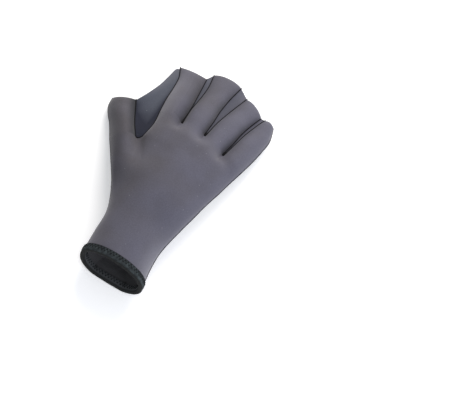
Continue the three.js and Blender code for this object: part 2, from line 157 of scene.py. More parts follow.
def unit(vectors):
    return vectors / np.maximum(np.linalg.norm(vectors, axis=-1, keepdims=True), 1e-9)


# The length of a line of points from its start to each of them.
def travelled(points):
    return np.append(0, np.cumsum(np.linalg.norm(np.diff(points, axis=0), axis=1)))


# Every column of a table, read at the wanted lengths.
def readAt(wanted, reach, table):
    return np.column_stack([np.interp(wanted, reach, column) for column in table.T])


# A smooth line from b to c, with a before them and d after.
def curveThrough(a, b, c, d, t):
    v0, v1 = (c - a) / 2, (d - b) / 2
    return (2 * b - 2 * c + v0 + v1) * t**3 + (3 * c - 3 * b - 2 * v0 - v1) * t**2 + v0 * t + b


# A smooth line through the values, one station apart.
def splineAt(values, station):
    values = np.asarray(values, float)
    last = len(values) - 1
    station = min(max(station, 0.0), last)
    i = min(int(station), last - 1)
    near = (values[k] for k in (max(i - 1, 0), i, i + 1, min(i + 2, last)))
    return curveThrough(*near, station - i)


def railAt(shares, station):
    return splineAt(np.asarray(shares) * (hand["width"], hand["length"]), station)


wristLift = (1 - hand["backShare"]) * hand["wristHeight"] + hand["tapeReach"] - hand["floorPress"]
seamKnots = [(-0.3, wristLift), (0, wristLift), (0.2, wristLift)]
seamKnots += [(along, mix(hand["tipLift"], hand["knuckleLift"], lift)) for along, lift in seamLine]
seamKnots = np.array(seamKnots + [(1.1, hand["tipLift"])])


# Height over the floor of the surface on which back and palm meet.
def seamHeight(x, y):
    along = np.asarray(y) / hand["length"]
    knots, lifts = seamKnots.T
    i = np.clip(np.searchsorted(knots, along) - 1, 1, len(knots) - 2)
    t = clamp((along - knots[i]) / (knots[i + 1] - knots[i]))
    lift = curveThrough(lifts[i - 1], lifts[i], lifts[i + 1], lifts[np.minimum(i + 2, len(knots) - 1)], t)
    lifted = clamp((lift - hand["tipLift"]) / (hand["knuckleLift"] - hand["tipLift"]))
    arched = ease(through(along, hand["archPart"]))
    return lift - hand["crossArch"] * (x / hand["width"]) ** 2 * arched * lifted


def across(b):
    return (1 - np.cos(np.pi * b)) / 2


def angleOf(share):
    return np.arccos(1 - 2 * clamp(share)) / np.pi


# A row of the sheet over edge points. Blocks are (columns, height), with no height where the sheet is flat.
# merge 1 gives one dome over all, 0 an arch for each block. An edge with a height is sewn to a web.
def layRow(points, blocks, dome, merge, edges, sills=(0, 0)):
    points = np.asarray(points)
    reach = travelled(points)
    reach /= reach[-1]
    row = []
    for k, (columns, height) in enumerate(blocks):
        start, end = reach[k], reach[k + 1]
        b = np.linspace(0, 1, columns + 1)[min(k, 1):]
        angle = mix(angleOf(start), angleOf(end), b)
        foot = mix(lay["softFoot"] * (edges[k] > 0), lay["softFoot"] * (edges[k + 1] > 0), ease(b))
        own = b if height is None else mix(across(b), b, foot)
        share = mix(own, (across(angle) - start) / (end - start), merge)
        arched = edge = mix(edges[k], edges[k + 1], b)
        if height is not None:
            arched = edge + (height - edge) * np.sin(np.pi * b).clip(0) ** hand["fingerRound"]
        sill = mix(sills[0], sills[1], across(angle))
        whole = sill + (dome - sill) * np.sin(np.pi * angle).clip(0) ** hand["wholeRound"]
        place = points[k] + (points[k + 1] - points[k]) * share[:, None]
        row.append(np.column_stack([place, mix(arched, whole, merge)]))
    return np.concatenate(row)


def fingerStrip(finger, first, stations, heights, size, edges, tipRound):
    rows = [first]
    columns = len(first) - 1
    thin = hand["wall"] + hand["tipSlack"]
    t = np.linspace(0, 1, columns + 1)
    for station in stations:
        a, b = railAt(finger["left"], station), railAt(finger["right"], station)
        nearTip = clamp(through(station, hand["tipCloses"]))
        full = size * splineAt(heights, min(station, len(heights) - 1))
        height = thin + (full - thin) * math.sqrt(1 - nearTip**2)
        row = layRow([a, b], [(columns, height)], 0, 0, edges)
        out = np.array([a[1] - b[1], b[0] - a[0]]) / np.linalg.norm(b - a)
        row[:, :2] += out * (finger["bulge"] * hand["length"] * nearTip**2 * 4 * t * (1 - t))[:, None]
        row[:, :2] += out * finger["grow"] * nearTip**2
        rounding = clamp(through(station, (4 - tipRound, tipRound)))
        row[:, 2] *= math.sqrt(1 - rounding**2)
        rows.append(row)
    return np.array(rows)


tipStart = 4 - lay["tipRound"]
tipTurn = np.sin(np.linspace(0, math.pi / 2, lay["tipRows"] + 1))[1:]
fingerStations = np.linspace(0, tipStart, lay["fingerRows"] + 1)[1:]
fingerStations = np.append(fingerStations, tipStart + lay["tipRound"] * tipTurn)
palmStations = np.linspace(0, 2, lay["palmRows"] + 1)[1:]
thumbEarly = (1 - lay["thumbShare"]) * 4
thumbStations = np.append(palmStations / 2 * thumbEarly, thumbEarly + fingerStations * lay["thumbShare"])


# One side of the glove as strips of rows: trunk, palm, four fingers and the thumb.
def layStrips(side, stations, withFingers):
    part = hand["backShare"] if side > 0 else 1 - hand["backShare"]
    webEdge = lay["webEdge"]
    roots = np.array([railAt(f[s], 0) for f in fingers[:4] for s in ("left", "right")])
    shares = (roots[:, 0] - roots[0, 0]) / (roots[-1, 0] - roots[0, 0])

    def spread(a, b):
        return a + (b - a) * shares[:, None]

    def handBlocks(height):
        return ([(lay["fingerColumns"], height), (lay["crotchColumns"], None)] * 4)[:7]

    trunk = []
    for station in stations:
        a, b, c, j = (railAt(trunkEdges[k], station) for k in trunkEdges)
        dome = part * hand["wristHeight"] * splineAt(hand["trunkHeight"], station)
        split = ease(through(station, hand["thumbParts"]))
        handDome = part * hand["palmHeight"] * hand["palmHeightAt"][0]
        thumbBlock = (lay["thumbColumns"], part * hand["thumbHeight"] * hand["thumbHeightAt"][0])
        blocks = [thumbBlock, (lay["rootColumns"], None)] + handBlocks(handDome)
        whole = layRow([a, b, *spread(c, j)], blocks, dome, 1, [0] * 10)
        thumbRow = layRow([a, b], [thumbBlock], 0, 0, [0, webEdge])
        handRow = layRow(spread(c, j), handBlocks(handDome), handDome, 1, [0] * 8, (webEdge, 0))
        t = np.linspace(0, 1, lay["rootColumns"] + 1)[1:-1]
        rootRow = np.column_stack([b + (c - b) * t[:, None], np.full(len(t), webEdge)])
        rootRow[:, 1] -= np.sin(np.pi * t) * hand["webRootDip"] * hand["length"]
        row = mix(whole, np.concatenate([thumbRow, rootRow, handRow]), split)
        row[:, 1] += hand["mouthLean"][side] * (1 - ease(station)) * whole[:, 2] / dome
        trunk.append(row)
    strips = [np.array(trunk)]
    if not withFingers:
        return strips

    palm = [trunk[-1][handStart:]]
    start = spread(railAt(palmEdges["indexOuter"], 0), railAt(palmEdges["littleOuter"], 0))
    arched = part * hand["fingerHeight"] * hand["fingerHeightAt"][0]
    for station in palmStations:
        edges = mix(start, roots, station / 2)
        edges[0] = railAt(palmEdges["indexOuter"], station)
        edges[-1] = railAt(palmEdges["littleOuter"], station)
        split = ease(through(station, hand["fingersPart"]))
        dome = part * hand["palmHeight"] * splineAt(hand["palmHeightAt"], station)
        palm.append(layRow(edges, handBlocks(arched), dome, 1 - split, [webEdge] * 7 + [0], (webEdge, 0)))
    strips.append(np.array(palm))
    size = part * hand["fingerHeight"]
    for i, finger in enumerate(fingers[:4]):
        first = palm[-1][i * fingerStep:i * fingerStep + lay["fingerColumns"] + 1]
        edges = (webEdge, 0 if i == 3 else webEdge)
        heights = hand["fingerHeightAt"]
        strips.append(fingerStrip(finger, first, fingerStations, heights, size, edges, lay["tipRound"]))
    first = trunk[-1][:lay["thumbColumns"] + 1]
    size, tipRound = part * hand["thumbHeight"], lay["tipRound"] * lay["thumbShare"]
    heights = hand["thumbHeightAt"]
    strips.append(fingerStrip(fingers[4], first, thumbStations, heights, size, (0, webEdge), tipRound))
    return strips


def relief(x, y):
    return sum(height * np.sin(wide * x + long * y + shift) for height, wide, long, shift in waves)


# The faces of a grid of point numbers.
def quadsOf(grid):
    return np.stack([grid[:-1, :-1], grid[:-1, 1:], grid[1:, 1:], grid[1:, :-1]], -1).reshape(-1, 4)


# Points and faces of one sheet, numbered so that strips share the rows on which they meet.
def numberStrips(strips):
    grids = [np.arange(strips[0][..., 0].size).reshape(strips[0].shape[:2])]
    count = grids[0].size
    for k, strip in enumerate(strips[1:], 1):
        rows, columns = strip.shape[0] - 1, strip.shape[1]
        if k == 1:
            first = grids[0][-1, handStart:]
        elif k == 6:
            first = grids[0][-1, :columns]
        else:
            first = grids[1][-1, (k - 2) * fingerStep:][:columns]
        fresh = np.arange(count, count + rows * columns).reshape(rows, columns)
        count += fresh.size
        grids.append(np.vstack([first, fresh]))
    points = np.zeros((count, 3))
    for strip, grid in zip(strips, grids):
        points[grid] = strip
    return points, np.concatenate([quadsOf(grid) for grid in grids]), grids


def pointNormals(points, quads):
    a, b, c, d = (points[quads[:, k]] for k in range(4))
    faceNormals = np.cross(c - a, d - b)
    total = np.zeros_like(points)
    for k in range(4):
        for axis in range(3):
            total[:, axis] += np.bincount(quads[:, k], faceNormals[:, axis], len(points))
    return unit(total)


def edgesOf(quads):
    return np.concatenate([quads[:, [k, (k + 1) % 4]] for k in range(4)])


def openEdges(quads):
    pairs = edgesOf(quads)
    size = quads.max() + 1
    forward, backward = pairs[:, 0] * size + pairs[:, 1], pairs[:, 1] * size + pairs[:, 0]
    return pairs[~np.isin(forward, backward)]


# Evens out the rows where one form passes into another. The sheet's edges stay.
def smoothSheet(points, quads, turns):
    pairs = np.unique(np.sort(edgesOf(quads), 1), axis=0)
    ends, others = np.concatenate([pairs, pairs[:, ::-1]]).T
    number = np.bincount(ends, minlength=len(points))[:, None]
    free = np.ones(len(points), bool)
    free[openEdges(quads).ravel()] = False
    for _ in range(turns):
        near = np.column_stack([np.bincount(ends, points[others, k], len(points)) for k in range(3)])
        points = np.where(free[:, None], mix(points, near / number, 0.5), points)
    return points


# Closes a sheet: its two faces, numbered one after the other, and the rim between them.
def closeSheet(quads, count):
    border = openEdges(quads)
    rim = np.column_stack([border[:, ::-1], border + count])
    return np.concatenate([quads, quads[:, ::-1] + count, rim]), border


# Fabric coordinates in metres: the length along each row, counted from a column near its middle, and the
# pattern's y.
def fabricPlaces(outer, grids):
    places = np.zeros((len(outer), 2))
    for k, grid in enumerate(grids):
        middle = handStart + lay["handMiddle"] if k == 0 else grid.shape[1] // 2
        rows = outer[grid]
        steps = np.linalg.norm(np.diff(rows, axis=1), axis=2)
        length = np.concatenate([np.zeros((len(rows), 1)), np.cumsum(steps, 1)], 1)
        length += rows[:, middle, 0][:, None] - length[:, middle][:, None]
        if k:
            length += places[grid[0, middle], 0] * 1000 - length[0, middle]
        fresh = min(k, 1)
        places[grid[fresh:], 0] = length[fresh:] / 1000
        places[grid[fresh:], 1] = rows[fresh:, :, 1] / 1000
    return places


def toFrame(points):
    return (points + hand["origin"]) / 1000


def attach(mesh, name, kind, values, domain="POINT"):
    key = "vector" if kind == "FLOAT_VECTOR" else "value"
    mesh.attributes.new(name, kind, domain).data.foreach_set(key, values.ravel())


def layFabric(mesh, places):
    mesh.uv_layers.new(name="fabric").data.foreach_set("uv", places.astype(np.float32).ravel())


def newPiece(name, points, faces, materials, faceMaterial, places=None, sharp=None, paintedShading=None):
    mesh = bpy.data.meshes.new(name)
    mesh.from_pydata(points.tolist(), [], faces.tolist())
    for material in materials:
        mesh.materials.append(material)
    mesh.polygons.foreach_set("material_index", np.asarray(faceMaterial, np.int32))
    mesh.shade_smooth()
    if places is not None:
        loops = np.zeros(len(mesh.loops), np.int32)
        mesh.loops.foreach_get("vertex_index", loops)
        layFabric(mesh, places[loops])
    if paintedShading is not None:
        attach(mesh, "paintedShading", "FLOAT", paintedShading.astype(np.float32))
    if sharp is not None:
        ends = np.zeros(len(mesh.edges) * 2, np.int32)
        mesh.edges.foreach_get("vertices", ends)
        number = np.array([len(points), 1])
        ends, sharp = (np.sort(pairs.reshape(-1, 2), 1) @ number for pairs in (ends, sharp))
        attach(mesh, "sharp_edge", "BOOLEAN", np.isin(ends, sharp), "EDGE")
    mesh.update()
    return newObject(name, mesh)


def keepPiece(piece, slot, *nodes):
    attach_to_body(piece, "root")
    if nodes:
        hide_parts(*nodes)


# sRGB hex to linear.
def linear(code):
    parts = [int(code[i:i + 2], 16) / 255 for i in (1, 3, 5)]
    return [c / 12.92 if c <= 0.04045 else ((c + 0.055) / 1.055) ** 2.4 for c in parts] + [1.0]


# Adds a node with its settings. Inputs are values or sockets to link.
def put(tree, kind, inputs=None, **settings):
    made = tree.nodes.new(kind)
    for key, value in settings.items():
        setattr(made, key, value)
    for key, value in (inputs or {}).items():
        if isinstance(value, bpy.types.NodeSocket):
            tree.links.new(value, made.inputs[key])
        else:
            made.inputs[key].default_value = value
    return made


# The same, for what the node gives first.
def take(tree, kind, inputs=None, **settings):
    return put(tree, kind, inputs, **settings).outputs[0]


def calc(tree, operation, *values):
    return take(tree, "ShaderNodeMath", dict(enumerate(values)), operation=operation)


def sideOf(tree, vector, axis):
    return put(tree, "ShaderNodeSeparateXYZ", {0: vector}).outputs[axis]


def newMaterial(name, shader):
    material = bpy.data.materials.new(name)
    material.use_nodes = True
    tree = material.node_tree
    tree.nodes.clear()
    surface = put(tree, "ShaderNodeBsdfPrincipled", shader)
    put(tree, "ShaderNodeOutputMaterial", {"Surface": surface.outputs[0]})
    return material, tree, surface.inputs


def blended(tree, amount, first, second, kind="MIX"):
    inputs = {0: amount, 6: first, 7: second}
    return put(tree, "ShaderNodeMix", inputs, data_type="RGBA", blend_type=kind).outputs[2]


def shaded(tree, colour, shade):
    grey = take(tree, "ShaderNodeCombineColor", {0: shade, 1: shade, 2: shade})
    return blended(tree, 1.0, colour, grey, "MULTIPLY")


def spread(tree, value, low, high, outLow, outHigh):
    return take(tree, "ShaderNodeMapRange", {0: value, 1: low, 2: high, 3: outLow, 4: outHigh})


# From one colour to the other as a value goes from low to high.
def between(tree, value, low, high, first, second):
    return blended(tree, spread(tree, value, low, high, 0, 1), linear(first), linear(second))


def placeOf(tree):
    return put(tree, "ShaderNodeTexCoord").outputs["Object"]


def noise(tree, scale, detail):
    return take(tree, "ShaderNodeTexNoise", {"Vector": placeOf(tree), "Scale": scale, "Detail": detail})


# Loops of a knit, so many to the metre across and along the fabric.
def knitted(tree, acrossMetre, alongMetre, uneven):
    fabric = take(tree, "ShaderNodeUVMap", uv_map="fabric")
    loops = take(tree, "ShaderNodeMapping", {0: fabric, "Scale": (acrossMetre, alongMetre, 1)})
    return take(tree, "ShaderNodeTexVoronoi", {"Vector": loops, "Scale": 1.0, "Randomness": uneven})


# Gives a surface its colour, and its bumps as (height, strength, metres), the finest first.
def finish(tree, surface, colour, *bumps):
    tree.links.new(colour, surface["Base Color"])
    normal = {}
    for height, strength, deep in bumps:
        inputs = {"Height": height, "Strength": strength, "Distance": deep} | normal
        normal = {"Normal": take(tree, "ShaderNodeBump", inputs)}
    tree.links.new(normal["Normal"], surface["Normal"])


# Darkens a colour with painted shade in the valleys beside the seams.
def withPaintedShading(tree, colour, deep):
    paintedShading = put(tree, "ShaderNodeAttribute", attribute_name="paintedShading").outputs["Fac"]
    return blended(tree, paintedShading, colour, linear(deep)), paintedShading


jersey = {
    # Drawn darker by the thumb than by the little finger: uneven dye in part, painted shade in part.
    "shade": "#4d4a4f", "light": "#54535f",  # from brownish by the thumb to bluish by the little finger
    # Web colours, a paler colour for painted light, lint, and two dark colours for painted shade.
    "web": "#4b4e57", "thumbWeb": "#4a4e5a", "paintedLight": "#77767d", "lint": "#8f9094",
    "paintedShading": "#12151c", "webPaintedShading": "#15192a",
    "loop": 0.0011, "speck": 900.0,  # a loop is 0.5 mm in truth: drawn twice as coarse to show
}


# Nylon jersey glued on neoprene foam, knitted and dyed: matt and soft, with a faint light rim and uneven dye.
# Painted shade darkens the seams' valleys and the thumb's side; painted light makes some lit places paler.
def jerseyMaterial(name, first, second, deep):
    material, tree, surface = newMaterial(name, {
        "Roughness": 0.82, "Sheen Weight": 0.18, "Sheen Roughness": 0.45, "Specular IOR Level": 0.3})
    cloud = spread(tree, noise(tree, 26.0, 2.0), 0, 1, -0.1, 0.1)
    drift = calc(tree, "ADD", sideOf(tree, placeOf(tree), 0), cloud)
    first, second, deep = (jersey[shade] for shade in (first, second, deep))
    # Painted shade in part: the thumb's side takes the darker colour.
    colour = between(tree, drift, -0.07, 0.05, first, second)
    # Painted shade where the painted shading is above 0, painted light where it is below.
    colour, paintedShading = withPaintedShading(tree, colour, deep)
    colour = blended(tree, spread(tree, paintedShading, -1, 0, 1, 0), colour, linear(jersey["paintedLight"]))
    flecks = put(tree, "ShaderNodeTexVoronoi", {"Vector": placeOf(tree), "Scale": 260.0})
    rare = take(tree, "ShaderNodeSeparateColor", {0: flecks.outputs["Color"]})
    small = spread(tree, flecks.outputs["Distance"], 0.05, 0.11, 0.7, 0)
    lint = calc(tree, "MULTIPLY", small, spread(tree, rare, 0.87, 0.89, 0, 1))
    colour = blended(tree, lint, colour, linear(jersey["lint"]))
    mottle, speck = noise(tree, 55.0, 3.0), noise(tree, jersey["speck"], 1.0)
    shade = calc(tree, "MULTIPLY", spread(tree, mottle, 0.25, 0.75, 0.94, 1.05),
                 spread(tree, speck, 0.3, 0.7, 0.93, 1.07))
    knit = knitted(tree, 1 / jersey["loop"], 0.7 / jersey["loop"], 0.35)
    finish(tree, surface, shaded(tree, colour, shade), (knit, 0.28, 0.00025), (mottle, 0.25, 0.0012))
    return material


grip = {"base": "#40464a", "dot": "#565d5e", "olive": "#454a41", "darkGround": "#32373a", "paintedShading": "#0e1012"}


# Printed grip rubber on neoprene, cured soft: greenish grey, a little shiny, darker between the dots.
def gripMaterial(name, first, second, roughness):
    material, tree, surface = newMaterial(name, {"Roughness": roughness, "Specular IOR Level": 0.4})
    patch, grain, tinge = noise(tree, 38.0, 4.0), noise(tree, 1600.0, 1.0), noise(tree, 19.0, 2.0)
    colour = between(tree, patch, 0.35, 0.7, grip[first], grip[second])
    colour = blended(tree, spread(tree, tinge, 0.42, 0.66, 0, 0.35), colour, linear(grip["olive"]))
    # Painted shade beside the seams.
    finish(tree, surface, withPaintedShading(tree, colour, grip["paintedShading"])[0], (grain, 0.2, 0.0002))
    return material


# Nylon lining jersey, knitted and soft: dull loops; painted light makes it grey, and paler deeper in.
def liningMaterial():
    material, tree, surface = newMaterial("liningJersey", {"Roughness": 0.95, "Specular IOR Level": 0.15})
    knit = knitted(tree, 900, 600, 0.3)
    # Painted light: paler deeper in the sleeve, where its shade is deepest.
    colour = between(tree, sideOf(tree, placeOf(tree), 1), -0.127, -0.1, "#444446", "#68686a")
    colour = shaded(tree, colour, spread(tree, knit, 0.1, 0.6, 1.1, 0.75))
    finish(tree, surface, colour, (knit, 0.4, 0.0003))
    return material


# Cut chloroprene foam, sliced from a block: dull black with fine closed cells.
def foamMaterial():
    material, tree, surface = newMaterial("neopreneFoamEdge", {"Roughness": 0.9})
    cells = take(tree, "ShaderNodeTexVoronoi", {"Vector": placeOf(tree), "Scale": 2500.0})
    colour = between(tree, cells, 0.1, 0.6, "#26282b", "#191a1c")
    finish(tree, surface, colour, (cells, 0.4, 0.0002))
    return material


# Bonded nylon thread, twisted from plies: black with a slight gloss along the twist.
def threadMaterial(name, first, second):
    material, tree, surface = newMaterial(name, {"Roughness": 0.7, "Specular IOR Level": 0.12})
    twist = noise(tree, 1400.0, 1.0)
    colour = between(tree, twist, 0.35, 0.65, first, second)
    finish(tree, surface, colour, (twist, 0.5, 0.0002))
    return material


# Knitted polyester binding tape, folded and stitched: charcoal ribs along the fold, dull, a little fluffy.
# A painted shadow darkens it by the glove, and painted light makes its band inside the sleeve paler.
def tapeMaterial(name, dark, light, fluffy):
    material, tree, surface = newMaterial(name, {"Roughness": 0.9, "Specular IOR Level": 0.1})
    around = sideOf(tree, take(tree, "ShaderNodeUVMap", uv_map="fabric"), 1)
    knit = knitted(tree, 1 / 0.0012, 1 / 0.0016, 0.25)
    colour = between(tree, knit, 0.1, 0.65, light, dark)
    fluff = spread(tree, noise(tree, 300.0, 3.0), 0.4, 0.75, 0, 0.7)
    # Painted shadow along the edge where the tape meets the glove.
    edge = spread(tree, around, 0.0009, 0.002, 0.75, 0)
    # Painted light on the band inside the sleeve.
    paintedLightInside = spread(tree, around, 0.0135, 0.0155, 0, 1)
    for amount, shade in ((fluff, fluffy), (edge, "#08090a"), (paintedLightInside, "#4c4e50")):
        colour = blended(tree, amount, colour, linear(shade))
    finish(tree, surface, colour, (knit, 0.6, 0.0004))
    return material


backJersey = jerseyMaterial("nylonJerseyOnNeoprene", "shade", "light", "paintedShading")
webJersey = jerseyMaterial("webJerseyOnNeoprene", "web", "light", "webPaintedShading")
thumbWebJersey = jerseyMaterial("thumbWebJerseyOnNeoprene", "thumbWeb", "web", "webPaintedShading")
gripRubber = gripMaterial("gripRubberGround", "darkGround", "base", 0.75)
dotRubber = gripMaterial("gripRubberDots", "base", "dot", 0.6)
liningJersey = liningMaterial()
foamEdge = foamMaterial()
seamThread = threadMaterial("bondedNylonThread", "#08080a", "#141518")
tapeThread = threadMaterial("tapeThread", "#0c0d0f", "#1a1c1f")
knittedTape = tapeMaterial("knittedTape", "#202325", "#34393b", "#474f51")
# The same tape drawn darker where it lies inside the sleeve: painted shade.
tapeInsidePaintedShade = tapeMaterial("knittedTapeInsidePaintedShade", "#1f2020", "#282929", "#2a2b2b")
print("materials made")


# The binding's thickness under the wrist keeps the sheet over the floor.
def floorUnder(y):
    return hand["tapeReach"] * (1 - ease((y - hand["tapeWidth"]) / (1.5 * hand["tapeWidth"])))


# Strip, its edge, reach in millimetres, and the painted shade along the strip's length. Below 0 is painted
# light.
# Painted shade on the flanks beside the web seams, on back and palm.
webFlanks = [(2, -1, 8, [(0, 0.38), (0.5, 0.4), (1, 0.05)])]
webFlanks += [(strip, -1, 4, [(0, 0.4), (0.5, 0.4), (1, 0)]) for strip in (3, 4)]
webFlanks += [(strip, 0, 4, [(0, 0.22), (0.5, 0.22), (1, 0)]) for strip in (3, 4, 5)]
webFlanks += [(6, -1, 7, [(0, 0.85), (0.9, 0.85), (1, 0)])]
# Back only: painted shade along the thumb's outer side, painted light by the wrist's ulnar side and the
# index.
outerSides = [
    (6, 0, 11, [(0, 0.4), (0.85, 0.36), (1, 0.1)]), (0, 0, 13, [(0, 0), (0.45, 0), (0.7, 0.42), (1, 0.4)]),
    (0, -1, 10, [(0, -0.6), (0.3, -0.3), (0.6, 0)]), (2, 0, 10, [(0, -0.4), (0.4, -0.5), (1, -0.1)]),
    (1, 0, 10, [(0, 0), (1, -0.4)]),
]


# Painted shade on a panel by the web seams and where the hand turns down, and painted light below 0.
def sheetPaintedShading(grids, outer, table):
    paintedShading = np.zeros(len(outer))
    for strip, edge, reach, knots in table:
        grid = grids[strip]
        away = np.linalg.norm((outer[grid] - outer[grid[:, edge]][:, None])[..., :2], axis=2)
        along = np.interp(np.linspace(0, 1, len(grid)), *zip(*knots))[:, None]
        fresh = along * np.exp(-((away / reach) ** 2))
        paintedShading[grid] = np.where(abs(fresh) > abs(paintedShading[grid]), fresh, paintedShading[grid])
    return paintedShading


# A piece from a sheet's two sides, with the same fabric coordinates on both and its sewn edges sharp.
def sewSheet(name, sides, faces, cloths, kinds, places, sewn, paintedShadings):
    sharp = np.concatenate([sewn, sewn + len(places)])
    points, places, paintedShading = np.concatenate(sides), np.tile(places, (2, 1)), np.concatenate(paintedShadings)
    return newPiece(name, toFrame(points), faces, cloths, kinds, places, sharp, paintedShading)


# A sheet of the wall's thickness on one side of the seam surface: outside, lining and cut edges.
def sewPanel(name, side, stations, withFingers, outside, lowest):
    points, quads, grids = numberStrips(layStrips(side, stations, withFingers))
    x, y, height = points.T
    soft = clamp(height / (4 * hand["wall"]))
    if side > 0:
        for dentX, dentY, reach, depth in dents:
            away = np.hypot(x - dentX * hand["width"], y - dentY * hand["length"]) / (reach * hand["width"])
            height = height - depth * hand["wristHeight"] * np.exp(-away**2) * soft
    height = height + relief(x, y) * soft
    outer = np.column_stack([x, y, seamHeight(x, y) + side * (hand["gap"] / 2 + height)])
    outer = smoothSheet(outer, quads, lay["smoothing"])
    if side < 0:
        outer[:, 2] = np.maximum(outer[:, 2], np.maximum(floorUnder(outer[:, 1]), lowest))
        quads = quads[:, ::-1]
    normals = pointNormals(outer, quads)
    inner = outer - normals * hand["wall"]
    base = seamHeight(inner[:, 0], inner[:, 1]) + side * hand["gap"] / 2
    inner[:, 2] = side * np.maximum(side * inner[:, 2], side * base)
    faces, border = closeSheet(quads, len(outer))
    kinds = np.repeat([0, 1, 2], [len(quads), len(quads), len(border)])
    places = fabricPlaces(outer, grids)
    table = (webFlanks + outerSides if side > 0 else webFlanks) if withFingers else []
    paintedShading = sheetPaintedShading(grids, outer, table)
    cloths = [outside, liningJersey, foamEdge]
    piece = sewSheet(name, (outer, inner), faces, cloths, kinds, places, border, (paintedShading, 0 * paintedShading))
    return {"piece": piece, "outer": outer, "normals": normals, "grids": grids, "quads": quads,
            "places": places, "paintedShading": paintedShading}


seamShift = hand["gap"] / 2 / (lay["trunkShare"] * hand["length"] / 5)
trunkStations = np.linspace(0, 5, lay["trunkRows"] + 1)
step = trunkStations[1]
wristStations = np.append(np.arange(0, lay["palmSeam"] - step / 2, step), lay["palmSeam"] - seamShift)
palmTrunk = np.append(lay["palmSeam"] + seamShift, trunkStations[trunkStations > lay["palmSeam"] + step / 2])
back = sewPanel("backPanel", 1, trunkStations, True, backJersey, 0)
wrist = sewPanel("wristPanel", -1, wristStations, False, backJersey, lay["lowest"])
palm = sewPanel("palmPanel", -1, palmTrunk, True, gripRubber, lay["dotRoom"])
keepPiece(back["piece"], "back_neoprene", "back_panel")
keepPiece(wrist["piece"], "wrist_neoprene", "wrist_panel")
keepPiece(palm["piece"], "palm_grip_neoprene", "palm_panel")
print("panels sewn")

webs = {
    "columns": 10, "thumbColumns": 40, "sag": 0.4, "thumbSag": 3.5, "edgeRound": 0.1, "thinnest": 0.08,
    "beside": 1.35, "besideFade": 8, "beyond": 1.3, "beyondFade": 5,  # shades by its seams, millimetres
    "shade": 0.3, "thumbShade": 1.0,  # how dark the sheet gets down in its root
    "paintedLight": 0.3,  # how pale painted light makes its free edge
    "under": 0.4,  # how much of the shade its underside has
}
nodeNames = {
    "webIndexMiddle": "web_index_middle", "webMiddleRing": "web_middle_ring",
    "webRingLittle": "web_ring_little", "webThumbIndex": "web_thumb_index",
}


# Painted shade on a web beside its two seams and in its root, and painted light on its free edge.
def webPaintedShading(share, t, width, shade):
    beside = webs["beside"] * np.exp(-t * width / webs["besideFade"]) * (1 - 0.1 * share)[:, None]
    fade = (1 - ease(share * 2 - 1))[:, None]
    beyond = webs["beyond"] * np.exp((t - 1) * width / webs["beyondFade"]) * fade
    paintedShading = clamp(np.maximum(beside, beyond) + (1 - ease(share * 1.6))[:, None]) * shade
    return (paintedShading - webs["paintedLight"] * ease(4 * share - 3)[:, None]).ravel()


# A sheet between two fingers' edges, from its root to its free edge.
def sewWeb(name, left, right, root, free, columns, sag, offset, cloth, shade):
    share = travelled((left + right) / 2)
    share /= share[-1]
    t = np.linspace(0, 1, columns + 1)
    span = right - left
    width = np.linalg.norm(span, axis=1)[:, None]
    inset = span / width * hand["gap"]
    rows = (left + inset)[:, None] + (span - 2 * inset)[:, None] * t[:, None]
    rows += root * ((1 - share) ** 3)[:, None, None] + free * (share**3)[:, None, None]
    x, y = rows[..., 0], rows[..., 1]
    ends = fingerStations
    if len(left) > len(fingerStations) + 1:
        ends = np.concatenate([palmStations, 2 + fingerStations])
    turn = clamp(through(np.append(0, ends), (ends[-1] - webs["edgeRound"], webs["edgeRound"])))
    half = np.maximum(hand["web"] / 2 * np.sqrt(1 - turn**2), webs["thinnest"])[:, None]
    middle = seamHeight(x, y) - sag * (4 * t * (1 - t)) * (ease(share * 2.5) * (1 - 0.7 * share))[:, None]
    top, low = (np.stack([x, y, middle + up], -1).reshape(-1, 3) for up in (half, -half))
    grid = np.arange(x.size).reshape(x.shape)
    quads = quadsOf(grid)
    faces, border = closeSheet(quads, x.size)
    freeRow = np.isin(border, grid[-1]).all(1)
    kinds = np.concatenate([np.zeros(len(quads)), np.ones(len(quads)), np.where(freeRow, 0, 2)])
    places = np.column_stack([x.ravel() / 1000 + offset, y.ravel() / 1000])
    cloths = [cloth, gripRubber, foamEdge]
    paintedShading = webPaintedShading(share, t, width, shade)
    under = webs["under"] * paintedShading
    piece = sewSheet(name, (top, low), faces, cloths, kinds, places, border[~freeRow], (paintedShading, under))
    keepPiece(piece, "web_neoprene", nodeNames[name])
    return {"outer": low, "quads": quads[:, ::-1], "places": places, "paintedShading": under}


# A sheet's points along the given numbers, seen from above.
def planOf(sheet, numbers):
    return sheet["outer"][numbers][:, :2]


def rail(sheet, strip, column):
    return sheet["grids"][strip][:, column]


# The index finger's side towards the thumb, from the thumb's root to the finger's tip.
def indexSide(sheet):
    return np.append(rail(sheet, 1, 0), rail(sheet, 2, 0)[1:])


sewnWebs = []
for i, name in enumerate(("webIndexMiddle", "webMiddleRing", "webRingLittle")):
    left, right = planOf(back, rail(back, i + 2, -1)), planOf(back, rail(back, i + 3, 0))
    lift = np.array([0, hand["gap"]])
    sewnWebs.append(sewWeb(name, left, right, lift, np.zeros(2), webs["columns"], webs["sag"], 0.2 + 0.1 * i,
                           webJersey, webs["shade"]))
left, right = planOf(back, rail(back, 6, -1)), planOf(back, indexSide(back))
t = np.linspace(0, 1, webs["thumbColumns"] + 1)
root = np.column_stack([0 * t, hand["gap"] - np.sin(np.pi * t) * hand["webRootDip"] * hand["length"]])
straight = left[-1] + (right[-1] - left[-1]) * t[:, None]
curve = np.array([railAt(thumbWebEdge, s * (len(thumbWebEdge) - 1)) for s in t])
free = (curve - straight) * ((t > 0) & (t < 1))[:, None]
sewnWebs.append(sewWeb("webThumbIndex", left, right, root, free, webs["thumbColumns"], webs["thumbSag"], 0.5,
                       thumbWebJersey, webs["thumbShade"]))
